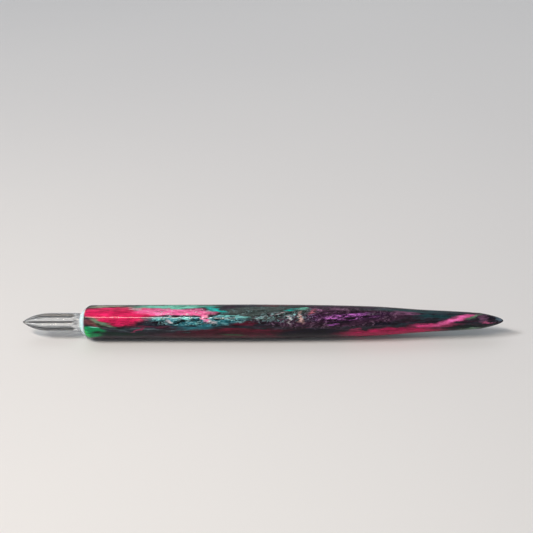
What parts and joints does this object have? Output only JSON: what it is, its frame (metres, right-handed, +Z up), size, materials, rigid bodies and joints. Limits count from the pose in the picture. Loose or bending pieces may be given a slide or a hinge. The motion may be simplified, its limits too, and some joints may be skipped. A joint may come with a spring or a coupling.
{
  "type": "glass dip pen",
  "caption": "Dip pen with a straight-fluted glass nib in a white push-fit ferrule and a tapered, turned handle of marbled pearlescent resin.",
  "frame": {"origin": "middle of the pen's length, on the surface it lies on", "axes": "+X along the pen from the nib's point towards the tail, +Y across, +Z up; the pen's own axis is parallel to X at the barrel's radius above the surface"},
  "size_m": [0.18, 0.0126, 0.0127],
  "materials": {
    "marbled_resin": "polished cast resin, marbled in crimson, teal, emerald, plum and pearl",
    "brass": "drawn tube, bright",
    "silicone": "translucent moulded silicone, matte",
    "ring_rubber": "moulded ring, satin",
    "white_acetal": "turned and polished, cool white",
    "clear_glass": "clear, flame polished"
  },
  "bodies": {
    "handle": {"handle_body": "marbled_resin", "liner_tube": "brass", "cushion_pad": "silicone", "seat_washer": "silicone"},
    "grip_rings": {"front_grip_ring": "ring_rubber", "rear_grip_ring": "ring_rubber"},
    "nib_unit": {"nib_ferrule": "white_acetal", "glass_nib": "clear_glass"}
  },
  "joints": [
    {"name": "nib_pull", "type": "slide", "parent": "handle", "child": "grip_rings", "axis": [-1, 0, 0], "range_m": [0, 0.024]},
    {"name": "nib_turn", "type": "hinge", "parent": "grip_rings", "child": "nib_unit", "pos_m": [-0.0669, 0, 0.00635], "axis": [-1, 0, 0], "continuous": true}
  ]
}
